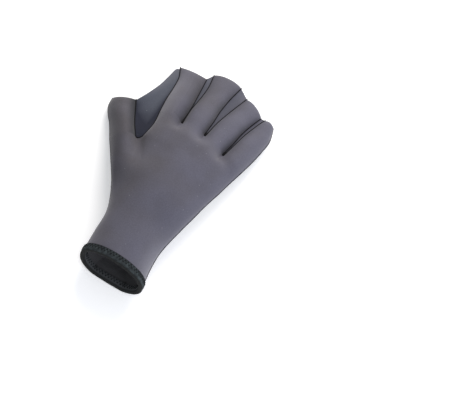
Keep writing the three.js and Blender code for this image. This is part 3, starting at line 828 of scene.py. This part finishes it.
print("webs sewn")

# Binding: a tape folded round the mouth's edge. Millimetres along the sleeve and out of it.
binding = {
    "steps": 336, "deepRow": 6, "bulge": 1.45, "evening": 12, "out": 1.3,
    "foldTurn": (75, 11),  # how far the fold reaches to each side in degrees, and its number of points
    "outside": [(6.6, 0.35), (6.7, 0.75), (6.5, 1.1), (6.0, 1.28), (5.2, 1.3), (4.1, 1.3), (3, 1.3),
                (1.9, 1.3), (0.8, 1.3)],
    "foldShown": 1,  # how far round the fold the tape keeps its own colour before its copy in painted shade
    "zigzag": (2.7, 5.4), "zigzagEvery": 3, "zigzagOut": 1.35, "thread": 0.32,
    "stitchSize": (0.0007, 0.00055), "turn": 0.3,
}


def evenRing(points, steps):
    closed = np.vstack([points, points[:1]])
    reach = travelled(closed[:, :3])
    ring = readAt(np.linspace(0, reach[-1], steps, endpoint=False), reach, closed)
    for _ in range(binding["evening"]):
        ring = (np.roll(ring, 1, 0) + 2 * ring + np.roll(ring, -1, 0)) / 4
    return ring, reach[-1]


def mouthRing():
    rows = []
    for sheet, backwards in ((back, False), (wrist, True)):
        numbers = sheet["grids"][0]
        mouth, deep = sheet["outer"][numbers[0]], sheet["outer"][numbers[binding["deepRow"]]]
        row = np.column_stack([mouth, deep - mouth, sheet["normals"][numbers[0]]])
        rows.append(row[::-1][1:-1] if backwards else row)
    ring, reach = evenRing(np.concatenate(rows), binding["steps"])
    axis = unit(ring[:, 3:6])
    out = ring[:, 6:9] - axis * (ring[:, 6:9] * axis).sum(1)[:, None]
    return ring[:, :3], axis, unit(out), reach


def bindCuff():
    mouth, axis, out, reach = mouthRing()
    outside = binding["outside"]
    middle, depth = -hand["wall"] / 2, hand["wall"] / 2 + binding["out"]
    degrees, parts = binding["foldTurn"]
    turn = np.radians(np.linspace(degrees, -degrees, parts))
    fold = [(-binding["bulge"] * math.cos(a), middle + depth * math.sin(a)) for a in turn]
    inside = [(s, -hand["wall"] - n) for s, n in reversed(outside)]
    section = np.array(outside + fold + inside + [(0, -hand["wall"] - hand["gap"]), (0, hand["gap"])])
    points = mouth[:, None] + axis[:, None] * section[:, 0][:, None] + out[:, None] * section[:, 1][:, None]
    steps, wide = points.shape[:2]
    grid = np.arange(steps * wide).reshape(steps, wide)
    after, over = np.roll(grid, -1, 0), np.roll(grid, -1, 1)
    faces = np.stack([grid, over, np.roll(after, -1, 1), after], -1).reshape(-1, 4)
    v = travelled(np.vstack([section, section[:1]])) / 1000
    u = np.arange(steps + 1) * reach / steps / 1000
    a, b = np.meshgrid(np.arange(steps), np.arange(wide), indexing="ij")
    corners = [(a, b), (a, b + 1), (a + 1, b + 1), (a + 1, b)]
    places = np.stack([np.stack([u[p], v[q]], -1) for p, q in corners], 2).reshape(-1, 2)
    # Past the fold the tape takes its darker copy: painted shade inside the sleeve.
    shown = len(outside) + binding["foldShown"]
    kinds = np.tile((np.arange(wide) >= shown).astype(int), steps)
    piece = newPiece("cuffBinding", toFrame(points.reshape(-1, 3)), faces, [knittedTape, tapeInsidePaintedShade], kinds)
    layFabric(piece.data, places)
    keepPiece(piece, "cuff_tape", "cuff_binding")
    return mouth, axis, out


mouth, sleeve, outward = bindCuff()
print("cuff bound")

# Seams: a thread sunk in each joint, with short stitches over it. Millimetres, and metres for the stitches.
seams = {
    "webInset": 0.3, "webLift": 0.25, "liftOver": 2, "webThread": 0.42, "thumbThread": 0.62, "thumbFade": 20,
    "tackThread": 0.8, "tackLength": 4.5, "tackFade": 3, "stubThread": 0.294, "stub": 0.7,
    "sideThread": 0.36, "sideInset": 0.12, "littleSideThread": 0.55, "littleSideInset": -0.05,
    "tipThread": 0.22, "wristThread": 0.42, "pitch": 0.0022, "stitchSize": (0.0007, 0.00026), "turn": 0.5,
}


def leftOf(points):
    along = unit(np.gradient(points[:, :2], axis=0))
    return np.column_stack([-along[:, 1], along[:, 0]])


# A path's points at even steps, with its widths or normals at the same places.
def evenPath(points, carried, spacing=1.0):
    reach = travelled(points)
    wanted = np.linspace(0, reach[-1], max(int(reach[-1] / spacing), 2) + 1)
    read = readAt(wanted, reach, np.column_stack([points, carried]))
    even = read[:, :3]
    for _ in range(2):
        even[1:-1] = (even[:-2] + 2 * even[1:-1] + even[2:]) / 4
    return even, read[:, 3:].squeeze()


# The joint round a web, from one finger's tip down to the root and up to the next finger's tip.
def webSeam(sheet, side, leftRail, rootRow, rightRail, isThumb):
    points = sheet["outer"][np.concatenate([leftRail[::-1], rootRow[1:-1], rightRail])]
    reach = travelled(points)
    toRoot = reach[len(leftRail) + len(rootRow) // 2] - reach
    if isThumb:
        widths = mix(seams["webThread"], seams["thumbThread"], ease(toRoot / seams["thumbFade"]))
    else:
        fromTack = through(np.abs(toRoot), (seams["tackLength"], seams["tackFade"]))
        widths = mix(seams["tackThread"], seams["webThread"], ease(fromTack))
    points[:, :2] += leftOf(points) * seams["webInset"]
    points[:, 2] += side * seams["webLift"] * clamp(np.minimum(reach, reach[-1] - reach) / seams["liftOver"])
    for end, inner in ((0, 3), (-1, -4)):
        ahead = unit((points[end] - points[inner]) * (1, 1, 0))
        at = 0 if end == 0 else len(points)
        points = np.insert(points, at, points[end] + ahead * seams["stub"], 0)
        widths = np.insert(widths, at, seams["stubThread"])
    points, widths = evenPath(points, widths)
    return points, np.tile([0, 0, side], (len(points), 1)), widths


# The joint between back and palm along the outside of the glove.
def sideSeam(numbers, width, inset):
    points = back["outer"][numbers] - (0, 0, hand["gap"] / 2)
    even, widths = evenPath(points, np.full(len(points), width))
    out = leftOf(even)
    even[:, :2] -= out * inset
    return even, np.column_stack([out, np.zeros(len(even))]), widths


paths = []
for sheet, side in ((back, 1), (palm, -1)):
    thumbRoot = sheet["grids"][0][-1, lay["thumbColumns"]:handStart + 1]
    paths.append(webSeam(sheet, side, rail(sheet, 6, -1), thumbRoot, indexSide(sheet), True))
    for i in range(3):
        crotch = sheet["grids"][1][-1, i * fingerStep + lay["fingerColumns"]:(i + 1) * fingerStep + 1]
        paths.append(webSeam(sheet, side, rail(sheet, i + 2, -1), crotch, rail(sheet, i + 3, 0), False))
underTape = binding["deepRow"]
thumbSide = np.concatenate([rail(back, 0, 0)[underTape:], rail(back, 6, 0)[1:]])
littleSide = [rail(back, 5, -1)[:0:-1], rail(back, 1, -1)[:0:-1], rail(back, 0, -1)[:underTape:-1]]
paths.append(sideSeam(thumbSide, seams["sideThread"], seams["sideInset"]))
paths.append(sideSeam(np.concatenate(littleSide), seams["littleSideThread"], seams["littleSideInset"]))
for strip in range(2, 7):
    paths.append(sideSeam(back["grids"][strip][-1], seams["tipThread"], seams["sideInset"]))
under = wrist["grids"][0][-1]
underPoints, underNormals = evenPath(wrist["outer"][under], wrist["normals"][under])
underPoints += (0, hand["gap"] / 2, 0)
underPoints[:, 2] = np.maximum(underPoints[:, 2], seams["wristThread"])
paths.append((underPoints, underNormals, np.full(len(underPoints), seams["wristThread"])))


def newTree(name, **sockets):
    tree = bpy.data.node_groups.new(name, "GeometryNodeTree")
    tree.interface.new_socket(name="Geometry", in_out="INPUT", socket_type="NodeSocketGeometry")
    for label, kind in sockets.items():
        tree.interface.new_socket(name=label, in_out="INPUT", socket_type="NodeSocket" + kind)
    tree.interface.new_socket(name="Geometry", in_out="OUTPUT", socket_type="NodeSocketGeometry")
    return tree, put(tree, "NodeGroupInput").outputs


def carried(tree, name, kind):
    return take(tree, "GeometryNodeInputNamedAttribute", {"Name": name}, data_type=kind)


def vectorOf(tree, x, y, z):
    return take(tree, "ShaderNodeCombineXYZ", {0: x, 1: y, 2: z})


# A small ball of few faces, one unit in radius.
def ballOf(tree):
    return take(tree, "GeometryNodeMeshUVSphere", {"Segments": 6, "Rings": 4, "Radius": 1.0})


def copiesOn(tree, points, shape, rotation, size):
    inputs = {"Points": points, "Instance": shape, "Rotation": rotation, "Scale": size}
    return take(tree, "GeometryNodeInstanceOnPoints", inputs)


# Ends a tree: copies made real, smooth and of one material.
def endTree(tree, copies, material):
    real = take(tree, "GeometryNodeRealizeInstances", {"Geometry": copies})
    smooth = take(tree, "GeometryNodeSetShadeSmooth", {"Geometry": real})
    done = take(tree, "GeometryNodeSetMaterial", {"Geometry": smooth, "Material": material})
    put(tree, "NodeGroupOutput", {0: done})
    return tree


# Thread and stitches along the edges of a path: short pills across it, turned left and right in turn.
def stitchTree():
    tree, given = newTree("stitchesAlongPath", pitch="Float", length="Float", radius="Float", turn="Float",
                          atCorners="Bool", material="Material")
    curve = take(tree, "GeometryNodeMeshToCurve", {"Mesh": given["Geometry"]})
    even = take(tree, "GeometryNodeResampleCurve", {"Curve": curve, "Length": given["pitch"]}, mode="LENGTH")
    spots = take(tree, "GeometryNodeSwitch", {"Switch": given["atCorners"], "False": even, "True": curve},
                 input_type="GEOMETRY")
    normal = carried(tree, "seamNormal", "FLOAT_VECTOR")
    tangent = take(tree, "GeometryNodeInputTangent")
    stand = take(tree, "FunctionNodeAlignRotationToVector", {"Vector": normal}, axis="Z")
    head = take(tree, "FunctionNodeAlignRotationToVector", {"Rotation": stand, "Vector": tangent}, axis="X",
                pivot_axis="Z")
    odd = calc(tree, "MODULO", take(tree, "GeometryNodeInputIndex"), 2.0)
    angle = calc(tree, "MULTIPLY", calc(tree, "MULTIPLY_ADD", odd, 2.0, -1.0), given["turn"])
    turn = take(tree, "FunctionNodeAxisAngleToRotation", {"Axis": (0, 0, 1), "Angle": angle})
    twist = {"Rotation": head, "Rotate By": turn}
    rotation = take(tree, "FunctionNodeRotateRotation", twist, rotation_space="LOCAL")
    size = vectorOf(tree, given["length"], given["radius"], given["radius"])
    stitches = copiesOn(tree, spots, ballOf(tree), rotation, size)
    circle = take(tree, "GeometryNodeCurvePrimitiveCircle", {"Resolution": 8, "Radius": 1.0})
    width = carried(tree, "threadWidth", "FLOAT")
    tube = take(tree, "GeometryNodeCurveToMesh", {
        "Curve": curve, "Profile Curve": circle, "Scale": width, "Fill Caps": True})
    both = put(tree, "GeometryNodeJoinGeometry")
    tree.links.new(stitches, both.inputs[0])
    tree.links.new(tube, both.inputs[0])
    return endTree(tree, both.outputs[0], given["material"])


# Runs a tree on a piece with its sizes set, and keeps the result as a plain mesh.
def runTree(piece, tree, **values):
    modifier = piece.modifiers.new(tree.name, "NODES")
    modifier.node_group = tree
    for socket in tree.interface.items_tree:
        if socket.in_out == "INPUT" and socket.name in values:
            modifier[socket.identifier] = values[socket.name]
    bpy.context.scene.view_layers[0].update()
    made = bpy.data.meshes.new_from_object(piece.evaluated_get(bpy.context.evaluated_depsgraph_get()))
    piece.modifiers.remove(modifier)
    made.name = piece.name
    piece.data = made


def pathPiece(name, paths):
    points, edges = [], []
    for line, _, _ in paths:
        first = len(points)
        points += toFrame(line).tolist()
        edges += [(first + k, first + k + 1) for k in range(len(line) - 1)]
    mesh = bpy.data.meshes.new(name)
    mesh.from_pydata(points, edges, [])
    attach(mesh, "seamNormal", "FLOAT_VECTOR", np.concatenate([normal for _, normal, _ in paths]))
    attach(mesh, "threadWidth", "FLOAT", np.concatenate([width for _, _, width in paths]) / 1000)
    return newObject(name, mesh)


stitchNodes = stitchTree()


# Stitches paths with the sizes of a dictionary. Without a pitch they sit at the paths' own corners.
def stitch(name, paths, sizes, thread):
    piece = pathPiece(name, paths)
    length, radius = sizes["stitchSize"]
    runTree(piece, stitchNodes, pitch=sizes.get("pitch", 1.0), length=length, radius=radius,
            turn=sizes["turn"], atCorners="pitch" not in sizes, material=thread)
    keepPiece(piece, "cuff_tape")


# Zigzag over the tape's edge, outside and inside: every few steps of the ring, near and far in turn.
tapeLines = []
turns = np.arange(0, binding["steps"], binding["zigzagEvery"])
along = np.where(turns // binding["zigzagEvery"] % 2, *binding["zigzag"])[:, None]
for out, side in ((binding["zigzagOut"], 1), (-hand["wall"] - binding["zigzagOut"], -1)):
    ring = mouth[turns] + sleeve[turns] * along + outward[turns] * out
    ring[:, 2] = np.maximum(ring[:, 2], binding["stitchSize"][1] * 1000)
    ring, normal = (np.vstack([line, line[:1]]) for line in (ring, outward[turns] * side))
    tapeLines.append((ring, normal, np.full(len(ring), binding["thread"])))
stitch("seamThreads", paths, seams, seamThread)
stitch("bindingStitches", tapeLines, binding, tapeThread)
print("seams stitched")

# Metres. The field of dots covers all the fabric's coordinates, and dots off the fabric are dropped.
dots = {
    "pitch": 0.0019, "rowShare": 0.866, "radius": 0.00066, "height": 0.0003, "field": (1.4, 0.56),
    "cutUnder": -0.1,
}


# Raised dots in staggered rows over the sheet's fabric coordinates, standing on its outside.
def dotTree():
    tree, given = newTree("gripDotsOnSheet", pitch="Float", radius="Float", height="Float",
                          fieldWidth="Float", fieldHeight="Float", material="Material")
    place = take(tree, "GeometryNodeInputPosition")
    fabric = carried(tree, "fabric", "FLOAT_VECTOR")

    def sampled(value, kind):
        inputs = {"Mesh": given["Geometry"], "Value": value, "UV Map": fabric, "Sample UV": place}
        return put(tree, "GeometryNodeSampleUVSurface", inputs, data_type=kind)

    def stored(points, name, value, kind):
        inputs = {"Geometry": points, "Name": name, "Value": value}
        return take(tree, "GeometryNodeStoreNamedAttribute", inputs, data_type=kind)

    rowPitch = calc(tree, "MULTIPLY", given["pitch"], dots["rowShare"])
    grid = take(tree, "GeometryNodeMeshGrid", {
        "Size X": given["fieldWidth"], "Size Y": given["fieldHeight"],
        "Vertices X": calc(tree, "DIVIDE", given["fieldWidth"], given["pitch"]),
        "Vertices Y": calc(tree, "DIVIDE", given["fieldHeight"], rowPitch)})
    points = take(tree, "GeometryNodeMeshToPoints", {"Mesh": grid})
    row = calc(tree, "ROUND", calc(tree, "DIVIDE", sideOf(tree, place, 1), rowPitch))
    shift = calc(tree, "MULTIPLY", calc(tree, "FLOORED_MODULO", row, 2.0), given["pitch"])
    offset = vectorOf(tree, calc(tree, "MULTIPLY", shift, 0.5), 0.0, 0.0)
    lattice = take(tree, "GeometryNodeSetPosition", {"Geometry": points, "Offset": offset})
    onSheet = sampled(place, "FLOAT_VECTOR")
    normal = sampled(take(tree, "GeometryNodeInputNormal"), "FLOAT_VECTOR").outputs[0]
    # Each dot takes the painted shade of the sheet under it.
    shade = sampled(carried(tree, "paintedShading", "FLOAT"), "FLOAT").outputs[0]
    missing = take(tree, "FunctionNodeBooleanMath", {0: onSheet.outputs[1]}, operation="NOT")
    held = stored(lattice, "dotNormal", normal, "FLOAT_VECTOR")
    held = stored(held, "paintedShading", shade, "FLOAT")
    held = stored(held, "dotMissing", missing, "BOOLEAN")
    found = take(tree, "GeometryNodeSetPosition", {"Geometry": held, "Position": onSheet.outputs[0]})
    missed = carried(tree, "dotMissing", "BOOLEAN")
    kept = take(tree, "GeometryNodeDeleteGeometry", {"Geometry": found, "Selection": missed})
    under = calc(tree, "LESS_THAN", sideOf(tree, place, 2), dots["cutUnder"])
    dome = take(tree, "GeometryNodeDeleteGeometry", {"Geometry": ballOf(tree), "Selection": under})
    standing = carried(tree, "dotNormal", "FLOAT_VECTOR")
    rotation = take(tree, "FunctionNodeAlignRotationToVector", {"Vector": standing}, axis="Z")
    size = vectorOf(tree, given["radius"], given["radius"], given["height"])
    return endTree(tree, copiesOn(tree, kept, dome, rotation, size), given["material"])


# The grip rubber's outside alone, palm and webs together, to lay the dots on.
def gripSkin():
    sheets = [palm] + sewnWebs
    starts = np.cumsum([0] + [len(sheet["outer"]) for sheet in sheets])
    faces = np.concatenate([sheet["quads"] + start for sheet, start in zip(sheets, starts)])
    parts = ("outer", "places", "paintedShading")
    points, places, paintedShading = (np.concatenate([sheet[k] for sheet in sheets]) for k in parts)
    return newPiece("gripDots", toFrame(points), faces, [], np.zeros(len(faces)), places, None, paintedShading)


dotPiece = gripSkin()
runTree(dotPiece, dotTree(), pitch=dots["pitch"], radius=dots["radius"], height=dots["height"],
        fieldWidth=dots["field"][0], fieldHeight=dots["field"][1], material=dotRubber)
keepPiece(dotPiece, "palm_grip_neoprene")
print("dots laid", len(dotPiece.data.polygons))

studio = {
    "floor": ("#f4f4f4", "#f1f1f1"), "floorGlow": 0.35,  # a lit table, so that hardly a shadow shows
    "floorReach": 4, "world": "#eef1f6", "worldStrength": 0.62,
    "key": {"place": (-0.15, 1.0, 0.8), "size": 1.0, "power": 16.0, "colour": "#fffaf5"},
    "fill": {"place": (0.9, -0.3, 0.5), "size": 0.8, "power": 6.0, "colour": "#f2f5ff"},
}


# A lit sheet of white paper: matt, with a faint grain.
def addFloor():
    material, tree, surface = newMaterial("paperFloor", {
        "Roughness": 0.9, "Emission Color": linear("#ffffff"), "Emission Strength": studio["floorGlow"]})
    colour = between(tree, noise(tree, 400.0, 2.0), 0.3, 0.7, *studio["floor"])
    tree.links.new(colour, surface["Base Color"])
    mesh = bpy.data.meshes.new("floor")
    reach = studio["floorReach"]
    corners = [(-reach, -reach, 0), (reach, -reach, 0), (reach, reach, 0), (-reach, reach, 0)]
    mesh.from_pydata(corners, [], [(0, 1, 2, 3)])
    mesh.materials.append(material)
    newObject("floor", mesh)


def addLight(name, place, size, power, colour):
    data = bpy.data.lights.new(name, "AREA")
    data.shape, data.size, data.energy = "DISK", size, power
    data.color = linear(colour)[:3]
    lamp = newObject(name, data)
    lamp.location = place
    lamp.rotation_euler = (-Vector(place)).to_track_quat("-Z", "Y").to_euler()


addFloor()
addLight("key", **studio["key"])
addLight("fill", **studio["fill"])
world = bpy.data.worlds.new("studio")
world.use_nodes = True
world.node_tree.nodes["Background"].inputs[0].default_value = linear(studio["world"])
world.node_tree.nodes["Background"].inputs[1].default_value = studio["worldStrength"]
bpy.context.scene.world = world
bpy.context.scene.view_settings.view_transform = "Standard"
print("studio lit")
